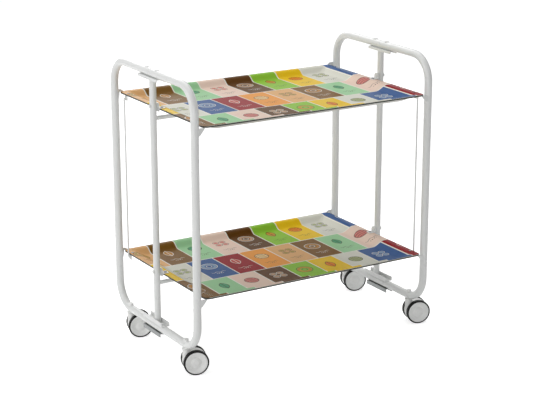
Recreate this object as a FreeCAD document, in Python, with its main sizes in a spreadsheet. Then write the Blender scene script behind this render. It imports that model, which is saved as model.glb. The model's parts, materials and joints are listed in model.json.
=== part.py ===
import FreeCAD, Part
import Sketcher
import math
import os
import re

# A folding serving trolley: two hinged side frames, two linked trays and four twin-wheel casters.
# Origin on the floor under the middle of the whole, whose casters trail to the right, so the frames' own
# middle lies left of it. x runs along the trays, y from the near side to the far side, z up.

os.makedirs("parts", exist_ok=True)
doc = FreeCAD.newDocument("ServingTrolley")
Vector = FreeCAD.Vector
Rotation = FreeCAD.Rotation

sizes = {
    # side frames
    "frameHalf": 317.0,
    "leafHalf": 196.0,
    "tubeRadius": 9.5,
    "tubeWall": 1.5,
    "topAxis": 684.0,
    "bottomAxis": 71.5,
    "bendRadius": 60.0,
    "endGap": 1.5,
    "plugCap": 0.9,
    "plugLength": 12.0,
    "postRadius": 8.0,
    "postWall": 1.5,
    "postInset": 0.6,
    # hinge channels, tie channels and their bolts
    "sheet": 1.6,
    "channelLength": 92.0,
    "channelShift": 6.5,
    "channelWidth": 20.8,
    "topLip": 6.5,
    "bottomLip": 10.0,
    "tieLength": 84.0,
    "tieShift": 13.0,
    "tieWidth": 19.6,
    "tieHeight": 10.0,
    "boltReach": 24.0,
    "boltRadius": 3.0,
    "boltHeadRadius": 5.5,
    "boltHeadHeight": 2.6,
    "boltSeat": 8.2,
    "boltTail": 2.0,
    # trays
    "upperRim": 598.5,
    "lowerRim": 200.5,
    "trayOffset": 15.8,
    "trayHalfDepth": 208.0,
    "rimCorner": 14.0,
    "trayThick": 3.5,
    "trayDrop": 13.0,
    "endFlange": 13.0,
    "endSlope": 34.0,
    "sideFlange": 10.0,
    "sideSlope": 24.0,
    "floorCorner": 16.0,
    # pivots
    "pivotRise": 7.5,
    "lugOffset": 10.4,
    "lugThick": 2.0,
    "lugHalfWidth": 9.5,
    "lugBelow": 5.5,
    "lugShoulder": 8.0,
    "lugTop": 14.0,
    "lugTopHalfWidth": 5.0,
    "lugTabReach": 28.6,
    "lugTabWidth": 16.0,
    "pinRadius": 2.5,
    "pinHeadRadius": 4.5,
    "pinHead": 2.0,
    "running": 0.05,
    "sideGap": 0.1,
    # bar under each tray
    "barRadius": 5.0,
    "barDrop": 21.8,
    "barEnd": 11.0,
    "saddleReach": 190.0,
    "saddleLength": 18.0,
    "saddleWidth": 26.0,
    "saddleDrop": 24.0,
    "saddleScrewReach": 9.0,
    # link rods
    "linkOffset": 12.8,
    "linkEdge": 36.0,
    "linkRadius": 2.0,
    "linkBend": 4.0,
    "linkDrop": 9.0,
    "linkHeadRadius": 3.0,
    "linkHead": 1.2,
    "linkPlay": 0.3,
    "bracketOffset": 17.3,
    "bracketDrop": 16.0,
    "bracketWidth": 12.0,
    "bracketTabReach": 28.5,
    # screws and rivets
    "screwOffset": 23.4,
    "screwRadius": 1.75,
    "screwHeadRadius": 3.5,
    "screwHead": 2.2,
    "screwTail": 0.8,
    "rivetRadius": 1.5,
    "rivetHeadRadius": 3.0,
    "rivetHead": 1.2,
    "saddleScrewBite": 2.5,
    # gussets and clips at the corner tubes
    "gussetThick": 2.5,
    "gussetStep": 6.0,
    "gussetReach": 22.0,
    "gussetDepth": 17.0,
    "gussetTip": 2.0,
    "restGap": 0.3,
    "clipThick": 2.0,
    "clipStep": 5.0,
    "clipDrop": 17.0,
    "clipInner": 12.5,
    "clipThroat": 14.5,
    "clipThroatDrop": 10.0,
    "clipReach": 24.0,
    "clipLip": 2.4,
    "clipShoulder": 18.0,
    "clipTop": 6.5,
    # casters
    "casterReach": 140.0,
    "casterYaw": -17.0,
    "trail": 20.0,
    "wheelRadius": 30.0,
    "wheelInner": 10.2,
    "wheelOuter": 21.0,
    "tyreDepth": 3.6,
    "tyreBevel": 1.6,
    "hubLip": 1.2,
    "hubDish": 4.2,
    "hubButtonRadius": 12.0,
    "hubButtonRise": 2.8,
    "axleRadius": 3.0,
    "axleHalf": 15.7,
    "axleEndGap": 0.4,
    "coreHalf": 9.4,
    "hoodRadius": 28.2,
    "hoodSkirt": 14.5,
    "neckRadius": 9.2,
    "neckTop": 60.2,
    "stemRadius": 4.0,
    "stemDepth": 16.0,
    "stemTop": 83.0,
    "socketRadius": 6.0,
    "socketFlange": 10.0,
    "socketFlangeThick": 1.3,
    "socketTop": 85.0,
    "socketRoof": 83.4,
}

sheet = doc.addObject("Spreadsheet::Sheet", "Sizes")
for row, (alias, value) in enumerate(sizes.items(), start=1):
    sheet.set("A%d" % row, alias)
    sheet.set("B%d" % row, str(value))
    sheet.setAlias("B%d" % row, alias)
doc.recompute()


def bound(text):
    """Turns size names in a formula into references to the sheet."""
    return re.sub(r"[A-Za-z]\w*", lambda word: "Sizes." + word.group(0) if word.group(0) in sizes
                  else word.group(0), text)


def size(alias):
    return float(sheet.get(alias))


# How far the frames' middle lies left of the origin: the casters' trail along x.
SHIFT = "trail * cos(casterYaw)"
LINK_REACH = "(trayHalfDepth - linkEdge)"


def place(thing, x="0", y="0", z="0", rotation=None):
    if rotation is not None:
        thing.Placement.Rotation = rotation
    thing.setExpression("Placement.Base.x", bound(f"{x} - {SHIFT}"))
    thing.setExpression("Placement.Base.y", bound(y))
    thing.setExpression("Placement.Base.z", bound(z))
    return thing


def block(x, y, z, length, width, height):
    """A box centred on x and y that stands on z."""
    thing = doc.addObject("Part::Box", "block")
    thing.setExpression("Length", bound(length))
    thing.setExpression("Width", bound(width))
    thing.setExpression("Height", bound(height))
    return place(thing, f"{x} - ({length}) / 2", f"{y} - ({width}) / 2", z)


def cylinder(x, y, z, radius, height, along=Vector(0, 0, 1)):
    """A cylinder that starts at a point and runs along a direction."""
    thing = doc.addObject("Part::Cylinder", "cylinder")
    thing.setExpression("Radius", bound(radius))
    thing.setExpression("Height", bound(height))
    return place(thing, x, y, z, Rotation(Vector(0, 0, 1), along))


def fuse(*things):
    union = doc.addObject("Part::MultiFuse", "union")
    union.Shapes = list(things)
    return union


def cut(base, *tools):
    tool = tools[0] if len(tools) == 1 else fuse(*tools)
    result = doc.addObject("Part::Cut", "cut")
    result.Base = base
    result.Tool = tool
    return result


def group(*things):
    compound = doc.addObject("Part::Compound", "group")
    compound.Links = list(things)
    return compound


def outline(body, points):
    """A closed sketch of straight edges whose corners are all bound to the sheet."""
    plane = [item for item in body.Origin.OriginFeatures if item.Role == "XY_Plane"][0]
    sketch = body.newObject("Sketcher::SketchObject", "outline")
    sketch.AttachmentSupport = (plane, [""])
    sketch.MapMode = "FlatFace"
    count = len(points)
    turn = 2 * math.pi / count
    seeds = [Vector(math.cos(turn * i), math.sin(turn * i), 0) for i in range(count)]
    for i in range(count):
        sketch.addGeometry(Part.LineSegment(seeds[i], seeds[(i + 1) % count]))
    for i in range(count):
        sketch.addConstraint(Sketcher.Constraint("Coincident", i, 2, (i + 1) % count, 1))
    for i, (across, up) in enumerate(points):
        for kind, text, seed in (("DistanceX", across, seeds[i].x), ("DistanceY", up, seeds[i].y)):
            number = sketch.addConstraint(Sketcher.Constraint(kind, -1, 1, i, 1, seed))
            sketch.setExpression("Constraints[%d]" % number, bound(text))
    return sketch


def plate(points, thickness, x="0", y="0", z="0", rotation=None):
    body = doc.addObject("PartDesign::Body", "plate")
    pad = body.newObject("PartDesign::Pad", "pad")
    pad.Profile = outline(body, points)
    pad.setExpression("Length", bound(thickness))
    body.Tip = pad
    return place(body, x, y, z, rotation)


def turned(points, x="0", y="0", z="0", rotation=None):
    """A solid of revolution about its own y axis, from (radius, place on the axis) points."""
    body = doc.addObject("PartDesign::Body", "turned")
    sketch = outline(body, points)
    revolution = body.newObject("PartDesign::Revolution", "revolution")
    revolution.Profile = sketch
    revolution.ReferenceAxis = (sketch, ["V_Axis"])
    revolution.Angle = 360
    body.Tip = revolution
    return place(body, x, y, z, rotation)


def made(shape):
    thing = doc.addObject("Part::Feature", "made")
    thing.Shape = shape
    return place(thing)


nodes = []


def node(name, thing):
    thing.Label = name
    nodes.append(thing)
    return thing


UP = Vector(0, 0, 1)
ACROSS = Vector(1, 0, 0)
DEEP = Vector(0, 1, 0)
ON_XZ = Rotation(ACROSS, 90)
ON_YZ = Rotation(Vector(1, 1, 1), 120)
ENDS = (("left", -1), ("right", 1))
SIDES = (("near", -1), ("far", 1))


def inboard(end, offset):
    """The x of a point that lies an offset inboard of one side frame's plane."""
    return f"{end} * (frameHalf - ({offset}))"


# Side frames: each leaf is one tube bent into a half loop.

def bentTube(path, radius, wall):
    """A tube, or a rod when wall is nothing, along a wire that starts at its first vertex."""
    start = path.Edges[0].valueAt(path.Edges[0].FirstParameter)
    ahead = path.Edges[0].tangentAt(path.Edges[0].FirstParameter)
    disc = Part.Face(Part.Wire(Part.makeCircle(radius, start, ahead)))
    if wall:
        disc = disc.cut(Part.Face(Part.Wire(Part.makeCircle(radius - wall, start, ahead)))).Faces[0]
    return path.makePipe(disc)


def roundedPath(corners, bend):
    """Straight runs joined by arcs; each inner corner is replaced by an arc of the bend's radius."""
    edges = []
    start = corners[0]
    diagonal = math.sqrt(2)
    for before, corner, after in zip(corners, corners[1:], corners[2:]):
        inward = (before - corner).normalize()
        outward = (after - corner).normalize()
        middle = corner + (inward + outward) * bend - (inward + outward) * (bend / diagonal)
        edges.append(Part.makeLine(start, corner + inward * bend))
        edges.append(Part.Arc(corner + inward * bend, middle, corner + outward * bend).toShape())
        start = corner + outward * bend
    edges.append(Part.makeLine(start, corners[-1]))
    return Part.Wire(edges)


def leaf(end, side):
    x = end * size("frameHalf")
    inner = side * size("endGap")
    outer = side * size("leafHalf")
    top = size("topAxis")
    bottom = size("bottomAxis")
    corners = [Vector(x, inner, top), Vector(x, outer, top), Vector(x, outer, bottom), Vector(x, inner, bottom)]
    tube = made(bentTube(roundedPath(corners, size("bendRadius")), size("tubeRadius"), size("tubeWall")))
    x = inboard(end, "0")
    bolt = f"{side} * boltReach"
    caster = f"{side} * casterReach"
    return cut(tube,
               cylinder(x, bolt, "topAxis - 2 * tubeRadius", "boltRadius", "4 * tubeRadius"),
               cylinder(x, bolt, "topAxis + boltSeat", "boltHeadRadius", "boltHeadHeight"),
               cylinder(x, bolt, "bottomAxis - 2 * tubeRadius", "boltRadius", "4 * tubeRadius"),
               cylinder(x, caster, "bottomAxis - 2 * tubeRadius", "socketRadius", "4 * tubeRadius"))


for endName, end in ENDS:
    for sideName, side in SIDES:
        node(f"{endName}_{sideName}_leaf", leaf(end, side))


def tubePlug(end, side, height):
    """A cap on the tube's end with a spigot inside the bore."""
    ahead = DEEP * side
    x = inboard(end, "0")
    cap = cylinder(x, f"{side} * (endGap - plugCap)", height, "tubeRadius", "plugCap", ahead)
    spigot = cylinder(x, f"{side} * endGap", height, "tubeRadius - tubeWall", "plugLength", ahead)
    return fuse(cap, spigot)


node("tube_end_plugs", group(*[tubePlug(end, side, height) for _, end in ENDS for _, side in SIDES
                               for height in ("topAxis", "bottomAxis")]))


# Channels: the top one hangs under the top tubes, the bottom one stands on the bottom tubes.

def channel(end, base, length, width, height, lips, shift):
    """A folded channel of sheet, its web at one height and its lips to one side of it."""
    x = inboard(end, "0")
    y = f"{-end} * {shift}"
    low = base if lips > 0 else f"{base} - ({height})"
    hollow = f"{base} + sheet" if lips > 0 else f"{base} - ({height})"
    return cut(block(x, y, low, width, length, height),
               block(x, y, hollow, f"{width} - 2 * sheet", f"2 * {length}", f"{height} - sheet"))


def boltHoles(end, low, tall):
    x = inboard(end, "0")
    return [cylinder(x, f"{side} * boltReach", low, "boltRadius", tall) for _, side in SIDES]


for endName, end in ENDS:
    post = f"{end} * (frameHalf - postInset)"
    foot = "bottomAxis + tubeRadius + sheet"
    rise = "topAxis - bottomAxis - 2 * tubeRadius - 2 * sheet"
    pinHoles = [cylinder(f"{post} - {end} * 2 * postRadius", "0", f"{rim} + pivotRise", "pinRadius",
                         "4 * postRadius", ACROSS * end) for rim in ("upperRim", "lowerRim")]
    node(f"{endName}_post", cut(cylinder(post, "0", foot, "postRadius", rise),
                                cylinder(post, "0", foot, "postRadius - postWall", rise), *pinHoles))
    top = "topAxis - tubeRadius"
    node(f"{endName}_top_channel", cut(channel(end, top, "channelLength", "channelWidth", "topLip", -1,
                                               "channelShift"),
                                       *boltHoles(end, "topAxis - 3 * tubeRadius", "2 * tubeRadius")))
    bottom = "bottomAxis + tubeRadius"
    node(f"{endName}_bottom_channel", cut(channel(end, bottom, "channelLength", "channelWidth",
                                                  "bottomLip", 1, "channelShift"),
                                          *boltHoles(end, "bottomAxis", "3 * tubeRadius")))
    under = "bottomAxis - tubeRadius"
    node(f"{endName}_tie_channel", cut(channel(end, under, "tieLength", "tieWidth", "tieHeight", -1, "tieShift"),
                                       *boltHoles(end, "bottomAxis - 3 * tubeRadius", "3 * tubeRadius")))


def hingeBolt(end, side, low, head, tall, tail):
    """A shank with a head above and a riveted tail below."""
    x = inboard(end, "0")
    y = f"{side} * boltReach"
    return fuse(cylinder(x, y, low, "boltRadius", f"{head} - ({low})"),
                cylinder(x, y, head, "boltHeadRadius", tall),
                cylinder(x, y, f"{low} - ({tail})", "boltHeadRadius", tail))


topBolts = [hingeBolt(end, side, "topAxis - tubeRadius - sheet", "topAxis + boltSeat", "boltHeadHeight",
                      "boltTail") for _, end in ENDS for _, side in SIDES]
bottomBolts = [hingeBolt(end, side, "bottomAxis - tubeRadius - sheet", "bottomAxis + tubeRadius + sheet",
                         "boltTail", "boltTail") for _, end in ENDS for _, side in SIDES]
node("hinge_bolts", group(*topBolts, *bottomBolts))


# Gussets under the near corners of the trays and hooked clips over their far corners.

def cornerGusset(end, rim):
    top = f"{rim} - trayThick - restGap"
    points = [(inboard(end, "0"), top), (inboard(end, "gussetReach"), top),
              (inboard(end, "gussetReach"), f"{top} - gussetTip"),
              (inboard(end, "tubeRadius"), f"{top} - gussetDepth"), (inboard(end, "0"), f"{top} - gussetDepth")]
    web = plate(points, "gussetThick", y="gussetThick / 2 - leafHalf - gussetStep", rotation=ON_XZ)
    return cut(web, cylinder(inboard(end, "0"), "-1 * leafHalf", "bottomAxis", "tubeRadius",
                             "topAxis - bottomAxis"))


def cornerClip(end, rim):
    points = [(inboard(end, "0"), f"{rim} - clipDrop"), (inboard(end, "clipInner"), f"{rim} - clipDrop"),
              (inboard(end, "clipThroat"), f"{rim} - clipThroatDrop"),
              (inboard(end, "clipThroat"), f"{rim} + restGap"),
              (inboard(end, "clipReach"), f"{rim} + restGap"), (inboard(end, "clipReach"), f"{rim} + clipLip"),
              (inboard(end, "clipShoulder"), f"{rim} + clipTop"), (inboard(end, "0"), f"{rim} + clipTop")]
    hook = plate(points, "clipThick", y="leafHalf + clipStep + clipThick / 2", rotation=ON_XZ)
    return cut(hook, cylinder(inboard(end, "0"), "leafHalf", "bottomAxis", "tubeRadius",
                              "topAxis - bottomAxis"))


RIMS = (("upper", "upperRim"), ("lower", "lowerRim"))
node("near_corner_gussets", group(*[cornerGusset(end, rim) for _, rim in RIMS for _, end in ENDS]))
node("far_corner_clips", group(*[cornerClip(end, rim) for _, rim in RIMS for _, end in ENDS]))


# Pivot pins: shank through the post, a collar, the lug, and a head at each end.

def pivotPin(end, rim):
    z = f"{rim} + pivotRise"
    inner = "lugOffset + lugThick + sideGap"
    outer = "postInset - postRadius"
    outward = ACROSS * end

    def length(offsetFrom, offsetTo, radius):
        return cylinder(inboard(end, offsetFrom), "0", z, radius, f"{offsetFrom} - ({offsetTo})", outward)

    return fuse(length(f"{inner} + pinHead", inner, "pinHeadRadius"), length(inner, outer, "pinRadius"),
                length("lugOffset - sideGap", "postInset + postRadius", "pinHeadRadius"),
                length(outer, f"{outer} - pinHead", "pinHeadRadius"))


node("tray_pivot_pins", group(*[pivotPin(end, rim) for _, rim in RIMS for _, end in ENDS]))


# Trays: a pressed panel, level at the rim, that runs down an S-shaped slope to a level floor.

slopeShares = [0.0, 0.125, 0.25, 0.375, 0.5, 0.625, 0.75, 0.875, 1.0]


def roundedLoop(halfLength, halfDepth, corner, z):
    """Four straight edges and four quarter arcs, as one closed wire."""
    diagonal = corner * (1 - 1 / math.sqrt(2))
    edges = []
    for sx, sy in ((1, 1), (-1, 1), (-1, -1), (1, -1)):
        alongX = Vector(sx * (halfLength - corner), sy * halfDepth, z)
        alongY = Vector(sx * halfLength, sy * (halfDepth - corner), z)
        middle = Vector(sx * (halfLength - diagonal), sy * (halfDepth - diagonal), z)
        first, last = (alongY, alongX) if sx * sy > 0 else (alongX, alongY)
        edges.append(Part.Arc(first, middle, last).toShape())
        nextX = -sx if sx * sy > 0 else sx
        nextY = sy if sx * sy > 0 else -sy
        if sx * sy > 0:
            edges.append(Part.makeLine(last, Vector(nextX * (halfLength - corner), nextY * halfDepth, z)))
        else:
            edges.append(Part.makeLine(last, Vector(nextX * halfLength, nextY * (halfDepth - corner), z)))
    return Part.Wire(edges)


def trayLoop(share, z):
    flangeCorner = size("rimCorner") - size("sideFlange")
    corner = flangeCorner + (size("floorCorner") - flangeCorner) * share
    halfLength = size("frameHalf") - size("trayOffset") - size("endFlange") - size("endSlope") * share
    halfDepth = size("trayHalfDepth") - size("sideFlange") - size("sideSlope") * share
    return roundedLoop(halfLength, halfDepth, corner, z)


def trayBlank(rim):
    thick = size("trayThick")
    drops = [size("trayDrop") * (1 - math.cos(math.pi * share)) / 2 for share in slopeShares]
    outerLoop = roundedLoop(size("frameHalf") - size("trayOffset"), size("trayHalfDepth"), size("rimCorner"),
                            rim - thick)
    flange = Part.Face(outerLoop).extrude(Vector(0, 0, thick))
    under = Part.makeLoft([trayLoop(share, rim - thick - drop) for share, drop in zip(slopeShares, drops)],
                          True, True)
    hollow = Part.makeLoft([trayLoop(share, rim - drop) for share, drop in zip(slopeShares, drops)], True, True)
    mouth = Part.Face(trayLoop(0, rim)).extrude(Vector(0, 0, thick))
    return flange.fuse(under).cut(hollow.fuse(mouth))


def saddleScrewSpots():
    return [(end, side) for _, end in ENDS for _, side in SIDES]


def panel(rim):
    sheetMetal = made(trayBlank(size(rim)))
    holes = [cylinder(inboard(end, "screwOffset"), "0", f"{rim} - 2 * trayThick", "screwRadius", "3 * trayThick")
             for _, end in ENDS]
    holes += [cylinder(inboard(end, "screwOffset"), f"{-end} * {LINK_REACH}", f"{rim} - 2 * trayThick",
                       "rivetRadius", "3 * trayThick") for _, end in ENDS]
    holes += [cylinder(f"{end} * saddleReach", f"{side} * saddleScrewReach", f"{rim} - trayThick - trayDrop",
                       "rivetRadius", "saddleScrewBite") for end, side in saddleScrewSpots()]
    return cut(sheetMetal, *holes)


def pivotLug(end, rim):
    """An upright ear beside the post with a tab that lies on the rim."""
    points = [("-1 * lugHalfWidth", "-1 * lugBelow"), ("lugHalfWidth", "-1 * lugBelow"),
              ("lugHalfWidth", "lugShoulder"), ("lugTopHalfWidth", "lugTop"),
              ("-1 * lugTopHalfWidth", "lugTop"), ("-1 * lugHalfWidth", "lugShoulder")]
    low = "lugOffset + lugThick" if end > 0 else "lugOffset"
    ear = plate(points, "lugThick", x=inboard(end, low), z=rim, rotation=ON_YZ)
    reach = "lugTabReach - lugOffset"
    tab = block(inboard(end, f"lugOffset + ({reach}) / 2"), "0", rim, reach, "lugTabWidth", "sheet")
    bore = cylinder(inboard(end, "lugOffset + 2 * lugThick"), "0", f"{rim} + pivotRise", "pinRadius + running",
                    "4 * lugThick", ACROSS * end)
    hole = cylinder(inboard(end, "screwOffset"), "0", f"{rim} - sheet", "screwRadius", "3 * sheet")
    return cut(fuse(ear, tab), bore, hole)


def barSaddle(end, rim):
    x = f"{end} * saddleReach"
    pad = block(x, "0", f"{rim} - saddleDrop", "saddleLength", "saddleWidth",
                "saddleDrop - trayThick - trayDrop")
    bore = cylinder(f"{x} - saddleLength", "0", f"{rim} - barDrop", "barRadius", "2 * saddleLength", ACROSS)
    holes = [cylinder(x, f"{side} * saddleScrewReach", f"{rim} - saddleDrop", "rivetRadius", "saddleDrop")
             for _, side in SIDES]
    return cut(pad, bore, *holes)


def rodBracket(end, rim, play):
    """An ear under the end flange that carries one link rod."""
    y = f"{-end} * {LINK_REACH}"
    under = f"{rim} - trayThick"
    ear = block(inboard(end, "bracketOffset + sheet / 2"), y, f"{rim} - bracketDrop", "sheet", "bracketWidth",
                "bracketDrop - trayThick")
    reach = "bracketTabReach - bracketOffset"
    tab = block(inboard(end, f"bracketOffset + ({reach}) / 2"), y, f"{under} - sheet", reach, "bracketWidth",
                "sheet")
    bore = cylinder(inboard(end, "bracketOffset - sheet"), y, f"{rim} - linkDrop", f"linkRadius + {play}",
                    "4 * sheet", ACROSS * -end)
    hole = cylinder(inboard(end, "screwOffset"), y, f"{under} - 1.5 * sheet", "rivetRadius", "3 * sheet")
    return cut(fuse(ear, tab), bore, hole)


def trayFasteners(rim):
    pieces = []
    for _, end in ENDS:
        x = inboard(end, "screwOffset")
        tail = f"{rim} - trayThick - screwTail"
        pieces.append(fuse(cylinder(x, "0", tail, "screwRadius", "trayThick + screwTail + sheet"),
                           cylinder(x, "0", f"{rim} + sheet", "screwHeadRadius", "screwHead")))
        y = f"{-end} * {LINK_REACH}"
        low = f"{rim} - trayThick - sheet"
        pieces.append(fuse(cylinder(x, y, low, "rivetRadius", "trayThick + sheet"),
                           cylinder(x, y, rim, "rivetHeadRadius", "rivetHead"),
                           cylinder(x, y, f"{low} - rivetHead", "rivetHeadRadius", "rivetHead")))
    for end, side in saddleScrewSpots():
        x = f"{end} * saddleReach"
        y = f"{side} * saddleScrewReach"
        low = f"{rim} - saddleDrop"
        pieces.append(fuse(cylinder(x, y, low, "rivetRadius",
                                    "saddleDrop - trayThick - trayDrop + saddleScrewBite"),
                           cylinder(x, y, f"{low} - rivetHead", "rivetHeadRadius", "rivetHead")))
    return group(*pieces)


for trayName, rim in RIMS:
    play = "running" if trayName == "upper" else "linkPlay"
    node(f"{trayName}_tray_panel", panel(rim))
    node(f"{trayName}_pivot_lugs", group(*[pivotLug(end, rim) for _, end in ENDS]))
    node(f"{trayName}_tray_bar", cylinder("barEnd - frameHalf", "0", f"{rim} - barDrop", "barRadius",
                                          "2 * (frameHalf - barEnd)", ACROSS))
    node(f"{trayName}_bar_saddles", group(*[barSaddle(end, rim) for _, end in ENDS]))
    node(f"{trayName}_rod_brackets", group(*[rodBracket(end, rim, play) for _, end in ENDS]))
    node(f"{trayName}_tray_fasteners", trayFasteners(rim))


# Link rods: one upright wire at each end, bent into both trays' brackets and peened over.

def linkRod(end):
    x = end * (size("frameHalf") - size("linkOffset"))
    y = -end * (size("trayHalfDepth") - size("linkEdge"))
    far = end * (size("frameHalf") - size("bracketOffset") - size("sheet") - size("sideGap"))
    low = size("lowerRim") - size("linkDrop")
    high = size("upperRim") - size("linkDrop")
    corners = [Vector(far, y, high), Vector(x, y, high), Vector(x, y, low), Vector(far, y, low)]
    wire = made(bentTube(roundedPath(corners, size("linkBend")), size("linkRadius"), 0))
    heads = [cylinder(inboard(end, "bracketOffset + sheet + sideGap"), f"{-end} * {LINK_REACH}",
                      f"{rim} - linkDrop", "linkHeadRadius", "linkHead", ACROSS * -end) for _, rim in RIMS]
    return fuse(wire, *heads)


for endName, end in ENDS:
    node(f"{endName}_link_rod", linkRod(end))


# Casters: a hood between twin wheels, turned on a stem in a socket through the bottom tube.

def socket(end, side):
    x = inboard(end, "0")
    y = f"{side} * casterReach"
    under = "bottomAxis - tubeRadius"
    flange = cylinder(x, y, f"{under} - socketFlangeThick", "socketFlange", "socketFlangeThick")
    sleeve = cylinder(x, y, f"{under} - socketFlangeThick", "socketRadius",
                      f"socketTop - ({under}) + socketFlangeThick")
    bore = cylinder(x, y, "0", "stemRadius + running", "socketRoof")
    return cut(fuse(flange, sleeve), bore)


node("caster_sockets", group(*[socket(end, side) for _, end in ENDS for _, side in SIDES]))
TURN = Rotation(UP, size("casterYaw"))


def caster(name, end, side):
    stemX = inboard(end, "0")
    stemY = f"{side} * casterReach"
    axleX = f"{stemX} + trail * cos(casterYaw)"
    axleY = f"{stemY} + trail * sin(casterYaw)"

    def onAxle(start, radius, length):
        """A cylinder along the axle from a place on it, counted from the middle of the hood."""
        return cylinder(f"{axleX} - ({start}) * sin(casterYaw)", f"{axleY} + ({start}) * cos(casterYaw)",
                        "wheelRadius", radius, length, TURN.multVec(DEEP))

    core = onAxle("-1 * coreHalf", "hoodRadius", "2 * coreHalf")
    neck = cylinder(stemX, stemY, "wheelRadius", "neckRadius", "neckTop - wheelRadius")
    skirt = block(axleX, axleY, "0", "4 * hoodRadius", "4 * hoodRadius", "hoodSkirt")
    stemHole = cylinder(stemX, stemY, "neckTop - stemDepth", "stemRadius", "stemTop")
    node(f"{name}_hood", cut(fuse(core, neck), skirt, stemHole,
                             onAxle("-1 * axleHalf", "axleRadius", "2 * axleHalf")))
    node(f"{name}_stem", cylinder(stemX, stemY, "neckTop - stemDepth", "stemRadius",
                                  "stemTop - neckTop + stemDepth"))
    node(f"{name}_axle", onAxle("-1 * axleHalf", "axleRadius", "2 * axleHalf"))
    for wheelName, way in (("inner", 1), ("outer", -1)):
        def along(text):
            return f"{way} * ({text})"

        bore = "axleRadius + running"
        rim = "wheelRadius - tyreDepth"
        hub = [(bore, along("wheelInner")), (rim, along("wheelInner")), (rim, along("wheelOuter - hubLip / 2")),
               (f"{rim} - hubLip", along("wheelOuter")), (f"{rim} - 2 * hubLip", along("wheelOuter")),
               ("hubButtonRadius + 2 * hubLip", along("wheelOuter - hubDish")),
               ("hubButtonRadius", along("wheelOuter - hubDish")),
               ("hubButtonRadius - hubLip", along("wheelOuter - hubDish + hubButtonRise / 2")),
               ("hubButtonRadius / 2", along("wheelOuter - hubDish + hubButtonRise")),
               ("0", along("wheelOuter - hubDish + hubButtonRise")),
               ("0", along("axleHalf + axleEndGap")), (bore, along("axleHalf + axleEndGap"))]
        tyre = [(rim, along("wheelInner")), ("wheelRadius - tyreBevel", along("wheelInner")),
                ("wheelRadius", along("wheelInner + tyreBevel")), ("wheelRadius", along("wheelOuter - tyreBevel")),
                ("wheelRadius - tyreBevel", along("wheelOuter")), (rim, along("wheelOuter"))]
        node(f"{name}_{wheelName}_hub", turned(hub, axleX, axleY, "wheelRadius", TURN))
        node(f"{name}_{wheelName}_tyre", turned(tyre, axleX, axleY, "wheelRadius", TURN))


for endName, end in ENDS:
    for sideName, side in SIDES:
        caster(f"{endName}_{sideName}_caster", end, side)

doc.recompute()

for thing in doc.Objects:
    if "Invalid" in thing.State or "Error" in thing.State:
        raise RuntimeError("failed object: " + thing.Label)
for thing in nodes:
    if thing.Shape.isNull() or not thing.Shape.isValid() or thing.Shape.Volume <= 0:
        raise RuntimeError("bad shape: " + thing.Label)
for thing in nodes:
    thing.Shape.exportStep(os.path.join("parts", thing.Label + ".step"))
print("written", len(nodes), "pieces")
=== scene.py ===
import json
import math

import bmesh
import bpy
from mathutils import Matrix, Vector


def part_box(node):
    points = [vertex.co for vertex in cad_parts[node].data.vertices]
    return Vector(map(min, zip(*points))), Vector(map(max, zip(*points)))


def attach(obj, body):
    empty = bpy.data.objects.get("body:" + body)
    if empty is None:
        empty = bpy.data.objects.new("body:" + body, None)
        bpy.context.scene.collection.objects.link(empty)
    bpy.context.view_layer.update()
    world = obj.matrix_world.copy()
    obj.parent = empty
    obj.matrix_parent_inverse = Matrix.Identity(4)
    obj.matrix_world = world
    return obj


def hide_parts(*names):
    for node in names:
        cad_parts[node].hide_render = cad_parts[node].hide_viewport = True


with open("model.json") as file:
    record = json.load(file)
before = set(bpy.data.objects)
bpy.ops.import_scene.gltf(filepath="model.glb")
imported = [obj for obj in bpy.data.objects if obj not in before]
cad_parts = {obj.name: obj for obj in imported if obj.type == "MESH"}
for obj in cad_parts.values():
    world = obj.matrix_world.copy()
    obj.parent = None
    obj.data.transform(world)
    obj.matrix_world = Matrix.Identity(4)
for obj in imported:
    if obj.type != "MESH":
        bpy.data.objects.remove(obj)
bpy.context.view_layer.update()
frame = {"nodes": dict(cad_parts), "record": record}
print("frame loaded")

millimetre = 0.001

camera = {
    "focalPixels": 1596.7,
    "imageWidth": 550,
    "sensor": 36.0,
    "place": (-1.9622, -3.1634, 1.4412),
    "azimuth": -31.69,  # degrees, turned from looking along +Y
    "pitch": 16.84,  # degrees below level
    "farthest": 100,
}

tray = {
    "halfLength": 301.2 * millimetre,
    "halfDepth": 208 * millimetre,
    "corner": 14 * millimetre,
    "thick": 3.5 * millimetre,
    "drop": 13 * millimetre,
    "endFlange": 13 * millimetre,
    "endSlope": 34 * millimetre,
    "sideFlange": 10 * millimetre,
    "sideSlope": 24 * millimetre,
    "floorCorner": 16 * millimetre,
    "edgeRound": 0.7 * millimetre,
    "edgeMiddle": 0.3,  # how far in and down the round's middle lies, as a share of it
    "arcSteps": 10,
    "slopeSteps": 14,
}

tiles = {
    "wide": 74 * millimetre,
    "deep": 138 * millimetre,
    "shift": (20.25, 1.5),  # tiles from the first one counted to the tray's middle, along and down
    "rowShift": 0.5,  # of a tile, from one row to the next
    "line": 1.4 * millimetre,  # half the width of a line between tiles
    "motif": 20 * millimetre,  # half a motif's width
    "motifShift": 0.12,  # of a tile's depth, to the far side
    "ruleShift": 0.22,  # of a tile's depth, to the near side
    "stroke": 0.9 * millimetre,  # half the width of a drawn line
    "thin": 0.8,  # a thinner line, as a share of that
    "blur": 0.5 * millimetre,
    "colourSteps": (5.0, 3.0),  # colours further from one column, and one row, to the next
    "formStep": 2.0,  # motifs further from one row to the next
}

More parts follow.
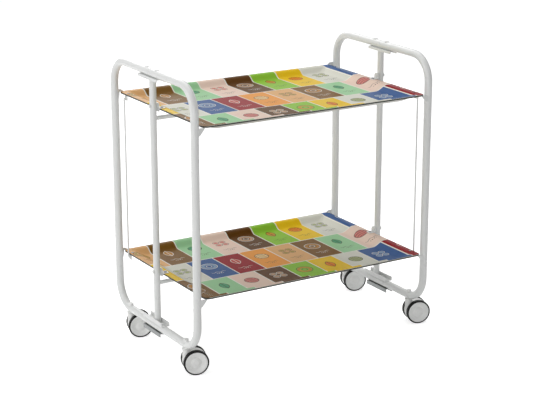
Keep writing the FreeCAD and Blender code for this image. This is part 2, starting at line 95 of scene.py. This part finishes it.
motif = {  # shares of a motif's half width, and the waves' turns
    "ringMiddle": 0.72,
    "ringHalf": 0.17,
    "ringHole": 0.34,
    "leafShift": 0.62,
    "leafReach": 1.15,
    "veinReach": 1.05,
    "disc": 0.86,
    "waveGap": 0.46,
    "waveSwing": 0.12,
    "waveTurns": 5.0,
    "spotShift": 0.46,
    "spot": 0.30,
    "spotOutline": 0.10,
}

rule = {  # shares of a motif's half width, and the wave's turns
    "reach": 0.95,
    "swing": 0.10,
    "turns": 7.0,
    "dot": 0.09,
    "dotGap": 0.30,
    "dotDrop": 0.42,
    "dotsReach": 0.45,
}

cream = (0.90, 0.87, 0.78)
umber = (0.060, 0.030, 0.018)
tileColours = {  # each tile's colour, the fill of its motif and the ink of its lines
    "stone": ((0.74, 0.74, 0.66), (0.30, 0.36, 0.10), umber),
    "lime": ((0.28, 0.57, 0.04), (0.66, 0.20, 0.02), umber),
    "blush": ((0.86, 0.67, 0.57), (0.60, 0.11, 0.10), umber),
    "walnut": ((0.205, 0.098, 0.014), (0.52, 0.24, 0.05), cream),
    "orange": ((0.87, 0.36, 0.06), (0.86, 0.66, 0.34), umber),
    "blue": ((0.045, 0.118, 0.32), (0.30, 0.42, 0.56), cream),
    "yellow": ((0.86, 0.58, 0.014), (0.78, 0.15, 0.01), umber),
    "cocoa": ((0.118, 0.046, 0.006), (0.62, 0.40, 0.26), cream),
    "mint": ((0.36, 0.66, 0.37), (0.02, 0.30, 0.14), umber),
    "peach": ((0.78, 0.46, 0.20), (0.32, 0.26, 0.05), umber),
    "claret": ((0.32, 0.004, 0.009), (0.60, 0.10, 0.08), cream),
}

printLook = {  # noises as scale and detail, and how much of each layer shows
    "fibre": (700.0, 3.0),
    "fibreShare": 0.30,
    "fibreTone": (0.42, 0.40, 0.36),
    "cloud": (24.0, 4.0),
    "cloudShare": 0.14,
    "cloudTone": (0.5, 0.47, 0.42),
    "fillShare": 0.80,
    "inkShare": 0.85,
    "roughness": 0.20,
    "spread": 0.10,
    "bump": 0.03 * millimetre,
    "strength": 0.25,
    "specular": 0.03,
}

finishes = {  # noises as scale and detail: the grain varies colour and roughness, the relief is the bump
    "whitePaint": {
        "grain": (38.0, 3.0), "dark": (0.81, 0.82, 0.81), "light": (0.85, 0.86, 0.85),
        "roughness": 0.24, "spread": 0.10,
        "relief": (900.0, 2.0), "bump": 0.06 * millimetre, "strength": 0.35,
        "fixed": {"Coat_Weight": 0.35, "Coat_Roughness": 0.12},
    },
    "mouldedWhite": {
        "grain": (60.0, 2.0), "dark": (0.90, 0.905, 0.89), "light": (0.94, 0.945, 0.93),
        "roughness": 0.30, "spread": 0.08,
        "relief": (1600.0, 2.0), "bump": 0.04 * millimetre, "strength": 0.3,
        "fixed": {},
    },
    "bareSteel": {
        "grain": (220.0, 4.0), "dark": (0.20, 0.21, 0.21), "light": (0.34, 0.35, 0.35),
        "roughness": 0.30, "spread": 0.20,
        "relief": (220.0, 4.0), "bump": 0.05 * millimetre, "strength": 0.4,
        "fixed": {"Metallic": 0.85},
    },
    "blackTyre": {
        "grain": (500.0, 3.0), "dark": (0.004, 0.004, 0.004), "light": (0.011, 0.011, 0.011),
        "roughness": 0.38, "spread": 0.15,
        "relief": (500.0, 3.0), "bump": 0.08 * millimetre, "strength": 0.5,
        "fixed": {"Specular_IOR_Level": 0.15},
    },
    "laminateCore": {
        "grain": (420.0, 4.0), "dark": (0.018, 0.022, 0.018), "light": (0.05, 0.05, 0.04),
        "roughness": 0.45, "spread": 0.2,
        "relief": (420.0, 4.0), "bump": 0.08 * millimetre, "strength": 0.5,
        "fixed": {},
    },
    "backingSheet": {
        "grain": (260.0, 3.0), "dark": (0.70, 0.70, 0.67), "light": (0.77, 0.77, 0.74),
        "roughness": 0.42, "spread": 0.12,
        "relief": (260.0, 3.0), "bump": 0.05 * millimetre, "strength": 0.4,
        "fixed": {},
    },
}


class Shade:  # a node tree, with one method for any node
    def __init__(self, name, world=None):
        self.material = world or bpy.data.materials.new(name)
        self.material.use_nodes = True
        self.tree = self.material.node_tree
        self.surface = self.tree.nodes["Background" if world else "Principled BSDF"]
        coordinates = self.tree.nodes.new("ShaderNodeTexCoord")
        self.place = coordinates.outputs["Object"]

    def node(self, kind, settings=None, **inputs):
        made = self.tree.nodes.new("ShaderNode" + kind)
        for key, value in (settings or {}).items():
            setattr(made, key, value)
        for key, value in inputs.items():
            self.feed(made.inputs[key.replace("_", " ")], value)
        return made

    def feed(self, socket, value):
        if isinstance(value, Term):
            value = value.socket
        if isinstance(value, bpy.types.NodeSocket):
            self.tree.links.new(value, socket)
        else:
            socket.default_value = value

    def constant(self, **values):
        for key, value in values.items():
            self.surface.inputs[key.replace("_", " ")].default_value = value

    def vary(self, **values):
        for key, value in values.items():
            self.feed(self.surface.inputs[key.replace("_", " ")], value)

    def noise(self, scale, detail):
        made = self.node("TexNoise", Scale=scale, Detail=detail, Vector=self.place)
        return Term(self, made.outputs["Fac"])

    def seen(self):  # 1 for what the camera sees straight, in a reflection or through glass
        path = self.node("LightPath")
        kinds = ("Camera", "Glossy", "Transmission")
        rays = [Term(self, path.outputs[f"Is {kind} Ray"]) for kind in kinds]
        return (rays[0] + rays[1] + rays[2]).least(1.0)

    def bump(self, height, distance, strength):
        return self.node("Bump", Height=height, Distance=distance, Strength=strength).outputs["Normal"]

    def mix(self, factor, first, second, blend="MIX"):
        made = self.node("Mix", {"data_type": "RGBA", "blend_type": blend})
        self.feed(made.inputs[0], factor)
        self.feed(made.inputs[6], first)
        self.feed(made.inputs[7], second)
        return made.outputs[2]

    def ramp(self, factor, colours):
        made = self.node("ValToRGB", Fac=factor)
        band = made.color_ramp
        band.interpolation = "CONSTANT"
        while len(band.elements) < len(colours):
            band.elements.new(1.0)
        for index, colour in enumerate(colours):
            band.elements[index].position = index / len(colours)
            band.elements[index].color = (*colour, 1)
        return made.outputs["Color"]


class Term:  # a value socket that can be used in ordinary arithmetic
    def __init__(self, shade, socket):
        self.shade = shade
        self.socket = socket

    def math(self, operation, other=None, flipped=False):
        made = self.shade.tree.nodes.new("ShaderNodeMath")
        made.operation = operation
        for index, value in enumerate([other, self] if flipped else [self, other]):
            if value is not None:
                self.shade.feed(made.inputs[index], value)
        return Term(self.shade, made.outputs[0])

    def __add__(self, other):
        return self.math("ADD", other)

    def __radd__(self, other):
        return self.math("ADD", other)

    def __sub__(self, other):
        return self.math("SUBTRACT", other)

    def __rsub__(self, other):
        return self.math("SUBTRACT", other, flipped=True)

    def __mul__(self, other):
        return self.math("MULTIPLY", other)

    def __rmul__(self, other):
        return self.math("MULTIPLY", other)

    def __truediv__(self, other):
        return self.math("DIVIDE", other)

    def floor(self):
        return self.math("FLOOR")

    def wrap(self, span):
        return self - (self / span).floor() * span

    def abs(self):
        return self.math("ABSOLUTE")

    def sqrt(self):
        return self.math("SQRT")

    def sine(self):
        return self.math("SINE")

    def below(self, limit):
        return self.math("LESS_THAN", limit)

    def least(self, other):
        return self.math("MINIMUM", other)

    def most(self, other):
        return self.math("MAXIMUM", other)


def away(u, v):  # the distance from a point
    return (u * u + v * v).sqrt()


def soften(distance):  # 1 inside a form, fading to 0 over the blur's width
    return (0.5 - distance / tiles["blur"]).most(0.0).least(1.0)


def stroke(distance, width=1.0):  # a drawn line along a form's edge
    return soften(distance.abs() - tiles["stroke"] * width)


def motifs(u, v, kind):  # the fill and the ink of the plain forms, one to a tile
    radius = tiles["motif"]
    part = {name: radius * share for name, share in motif.items()}
    reach = away(u, v)
    ring = (reach - part["ringMiddle"]).abs() - part["ringHalf"]
    leftArc = away(u + part["leafShift"], v) - part["leafReach"]
    rightArc = away(u - part["leafShift"], v) - part["leafReach"]
    leaf = leftArc.most(rightArc)
    vein = (u.abs() - tiles["stroke"]).most(v.abs() - part["veinReach"])
    disc = reach - part["disc"]
    swing = (u / radius * motif["waveTurns"]).sine() * part["waveSwing"]
    wave = (v + swing).wrap(part["waveGap"]) - part["waveGap"] / 2
    spot = away(u.abs() - part["spotShift"], v.abs() - part["spotShift"]) - part["spot"]
    forms = ((ring, stroke(reach - part["ringHole"]).most(stroke(reach - radius))),
             (leaf, stroke(leaf).most(soften(vein))),
             (disc, soften((wave.abs() - tiles["stroke"]).most(disc)).most(stroke(disc))),
             (spot, stroke(spot - part["spotOutline"], tiles["thin"])))
    number = kind.wrap(float(len(forms)))
    fill = ink = 0.0
    for index, (form, lines) in enumerate(forms):
        chosen = (number - float(index)).abs().below(0.5)
        fill = soften(form) * chosen + fill
        ink = lines * chosen + ink
    return fill, ink


def flourish(u, v):  # a small wavy rule with a row of dots below it
    radius = tiles["motif"]
    part = {name: radius * share for name, share in rule.items()}
    swing = (u / radius * rule["turns"]).sine() * part["swing"]
    wavy = (v + swing).abs() - tiles["stroke"] * tiles["thin"]
    dots = away(u.wrap(part["dotGap"]) - part["dotGap"] / 2, v + part["dotDrop"]) - part["dot"]
    line = soften(wavy.most(u.abs() - part["reach"]))
    return line.most(soften(dots.most(u.abs() - part["dotsReach"])))


def printedLaminate(middle):
    shade = Shade("printedLaminate")
    split = shade.node("SeparateXYZ", Vector=shade.place)
    wide, deep = tiles["wide"], tiles["deep"]
    acrossShift, downShift = tiles["shift"]
    down = Term(shade, split.outputs["Y"]) / deep + downShift
    row = down.floor()
    stagger = row.wrap(2.0) * tiles["rowShift"]
    along = (Term(shade, split.outputs["X"]) - middle) / wide + stagger + acrossShift
    column = along.floor()
    u = (along - column - 0.5) * wide
    v = (down - row - 0.5) * deep
    count = len(tileColours)
    columnStep, rowStep = tiles["colourSteps"]
    number = ((column * columnStep + row * rowStep).wrap(float(count)) + 0.5) / count
    tile, filled, inked = (shade.ramp(number, [choice[part] for choice in tileColours.values()])
                           for part in range(3))
    fill, ink = motifs(u, v - deep * tiles["motifShift"], column + row * tiles["formStep"])
    lines = flourish(u, v + deep * tiles["ruleShift"])
    border = (u.abs() - wide / 2).most(v.abs() - deep / 2) + tiles["line"]
    fibre = shade.noise(*printLook["fibre"])
    cloud = shade.noise(*printLook["cloud"])
    base = shade.mix(fibre * printLook["fibreShare"], tile, (*printLook["fibreTone"], 1), "OVERLAY")
    drawn = shade.mix(fill.least(1.0) * printLook["fillShare"], base, filled)
    lined = shade.mix(ink.most(lines).least(1.0) * printLook["inkShare"], drawn, inked)
    edged = shade.mix(soften(-1.0 * border), lined, (*cream, 1))
    shade.vary(Base_Color=shade.mix(cloud * printLook["cloudShare"], edged,
                                    (*printLook["cloudTone"], 1), "OVERLAY"),
               Roughness=cloud * printLook["spread"] + printLook["roughness"],
               Normal=shade.bump(fibre, printLook["bump"], printLook["strength"]))
    shade.constant(Specular_IOR_Level=printLook["specular"])
    return shade.material


def plainFinish(name, look):
    shade = Shade(name)
    grain = shade.noise(*look["grain"])
    relief = shade.noise(*look["relief"])
    shade.vary(Base_Color=shade.mix(grain, (*look["dark"], 1), (*look["light"], 1)),
               Roughness=grain * look["spread"] + look["roughness"],
               Normal=shade.bump(relief, look["bump"], look["strength"]))
    shade.constant(**look["fixed"])
    return shade.material


materials = {name: plainFinish(name, look) for name, look in finishes.items()}
panelLow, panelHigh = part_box("upper_tray_panel")
trayMiddle = (panelLow[0] + panelHigh[0]) / 2
laminate = printedLaminate(trayMiddle)
print("materials made")

slotMaterials = {
    "white_powder_coat": materials["whitePaint"],
    "white_plastic": materials["mouldedWhite"],
    "bare_steel": materials["bareSteel"],
    "black_tyre": materials["blackTyre"],
    "printed_laminate": laminate,
}
for entry in frame["record"]["subparts"]:
    piece = frame["nodes"][entry["node"]]
    for place in piece.material_slots:
        place.material = slotMaterials[entry["material_slot"]]
print("carried-over pieces painted")


def roundedLoop(halfLength, halfDepth, corner, z):  # the same count of points for every size
    points = []
    quarter = math.pi / 2
    for index, (sx, sy) in enumerate(((1, 1), (-1, 1), (-1, -1), (1, -1))):
        for step in range(tray["arcSteps"] + 1):
            angle = quarter * (index + step / tray["arcSteps"])
            points.append(Vector((trayMiddle + sx * (halfLength - corner) + corner * math.cos(angle),
                                  sy * (halfDepth - corner) + corner * math.sin(angle), z)))
    return points


def traySections(rim):  # from the floor's edge up the slope, round the rim's edge and back underneath
    def slopeLoop(share, lift):
        flangeCorner = tray["corner"] - tray["sideFlange"]
        depth = tray["drop"] * (1 - math.cos(math.pi * share)) / 2
        return roundedLoop(tray["halfLength"] - tray["endFlange"] - tray["endSlope"] * share,
                           tray["halfDepth"] - tray["sideFlange"] - tray["sideSlope"] * share,
                           flangeCorner + (tray["floorCorner"] - flangeCorner) * share, rim - depth - lift)

    def edgeLoop(inset, drop):
        return roundedLoop(tray["halfLength"] - inset, tray["halfDepth"] - inset,
                           tray["corner"] - inset, rim - drop)

    shares = [1 - step / tray["slopeSteps"] for step in range(tray["slopeSteps"] + 1)]
    bend = tray["edgeRound"]
    middle = bend * tray["edgeMiddle"]
    thick = tray["thick"]
    top = [slopeLoop(share, 0) for share in shares]
    edge = [edgeLoop(bend, 0), edgeLoop(middle, middle), edgeLoop(0, bend),
            edgeLoop(0, thick - bend), edgeLoop(middle, thick - middle), edgeLoop(bend, thick)]
    under = [slopeLoop(share, thick) for share in reversed(shares)]
    return top, edge, under


def buildTray(name, node, body, rim):
    mesh = bpy.data.meshes.new(name)
    printedFace, cutFace, backFace = range(3)  # as the materials are appended below
    top, edge, under = traySections(rim)
    work = bmesh.new()
    rings = [[work.verts.new(point) for point in loop] for loop in top + edge + under]
    count = len(rings[0])
    printEnd = len(top)
    cutEnd = printEnd + len(edge) - 1
    for index, (lower, upper) in enumerate(zip(rings, rings[1:])):
        slot = printedFace if index < printEnd else cutFace if index < cutEnd else backFace
        for step in range(count):
            after = (step + 1) % count
            face = work.faces.new((lower[step], lower[after], upper[after], upper[step]))
            face.smooth = True
            face.material_index = slot
    work.faces.new(list(reversed(rings[0]))).material_index = printedFace
    work.faces.new(rings[-1]).material_index = backFace
    bmesh.ops.recalc_face_normals(work, faces=work.faces[:])
    work.to_mesh(mesh)
    work.free()
    for finish in (laminate, materials["laminateCore"], materials["backingSheet"]):
        mesh.materials.append(finish)
    piece = bpy.data.objects.new(name, mesh)
    bpy.context.scene.collection.objects.link(piece)
    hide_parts(node)
    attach(piece, body)


for level in ("upper", "lower"):
    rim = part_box(f"{level}_tray_panel")[1][2]
    buildTray(f"{level}TrayPanel", f"{level}_tray_panel", f"{level}_tray", rim)
print("trays built")

studio = {
    "floorSize": 24.0,
    "floorColour": 0.88,
    "floorRoughness": 0.9,
    "floorSpecular": 0.1,
    "backgroundGlow": 0.70,  # what the camera and reflections see on top of the floor's own light
    "skyStrength": 0.31,
}

lamps = {
    "topLamp": {"place": (0.2, 0.7, 3.3), "aim": (0, 0, 0.4), "side": 2.8, "power": 37},
    "backLamp": {"place": (0.5, 3.3, 2.5), "aim": (0, 0, 0.5), "side": 2.2, "power": 30},
    "leftLamp": {"place": (-3.2, 0.3, 1.7), "aim": (0, 0, 0.4), "side": 1.6, "power": 25},
    "frontLamp": {"place": (-2.8, -2.8, 0.7), "aim": (0, 0, 0.25), "side": 1.4, "power": 22},
}


def whiteFloor():
    shade = Shade("studioFloor")
    tone, glow = studio["floorColour"], studio["backgroundGlow"]
    shade.vary(Emission_Color=shade.mix(shade.seen(), (0, 0, 0, 1), (glow, glow, glow, 1)))
    shade.constant(Base_Color=(tone, tone, tone, 1), Roughness=studio["floorRoughness"],
                   Specular_IOR_Level=studio["floorSpecular"], Emission_Strength=1.0)
    return shade.material


floorMesh = bpy.data.meshes.new("studioFloor")
half = studio["floorSize"] / 2
floorMesh.from_pydata([(-half, -half, 0), (half, -half, 0), (half, half, 0), (-half, half, 0)], [],
                      [(0, 1, 2, 3)])
floorMesh.materials.append(whiteFloor())
studioFloor = bpy.data.objects.new("studioFloor", floorMesh)
bpy.context.scene.collection.objects.link(studioFloor)

sky = Shade("sky", bpy.data.worlds.new("sky"))
sky.constant(Color=(1, 1, 1, 1))
sky.vary(Strength=sky.seen() * (1.0 - studio["skyStrength"]) + studio["skyStrength"])
bpy.context.scene.world = sky.material

for name, setting in lamps.items():
    data = bpy.data.lights.new(name, "AREA")
    data.shape = "SQUARE"
    data.size = setting["side"]
    data.energy = setting["power"]
    lamp = bpy.data.objects.new(name, data)
    lamp.location = setting["place"]
    facing = Vector(setting["aim"]) - Vector(setting["place"])
    lamp.rotation_euler = facing.to_track_quat("-Z", "Y").to_euler()
    bpy.context.scene.collection.objects.link(lamp)

lens = bpy.data.cameras.new("viewCamera")
lens.sensor_fit = "HORIZONTAL"
lens.sensor_width = camera["sensor"]
lens.lens = camera["focalPixels"] / camera["imageWidth"] * camera["sensor"]
lens.clip_end = camera["farthest"]
viewCamera = bpy.data.objects.new("viewCamera", lens)
viewCamera.location = camera["place"]
viewCamera.rotation_euler = (math.radians(90 - camera["pitch"]), 0, math.radians(camera["azimuth"]))
bpy.context.scene.collection.objects.link(viewCamera)
bpy.context.scene.camera = viewCamera
bpy.context.scene.view_settings.view_transform = "Standard"
print("stage set")
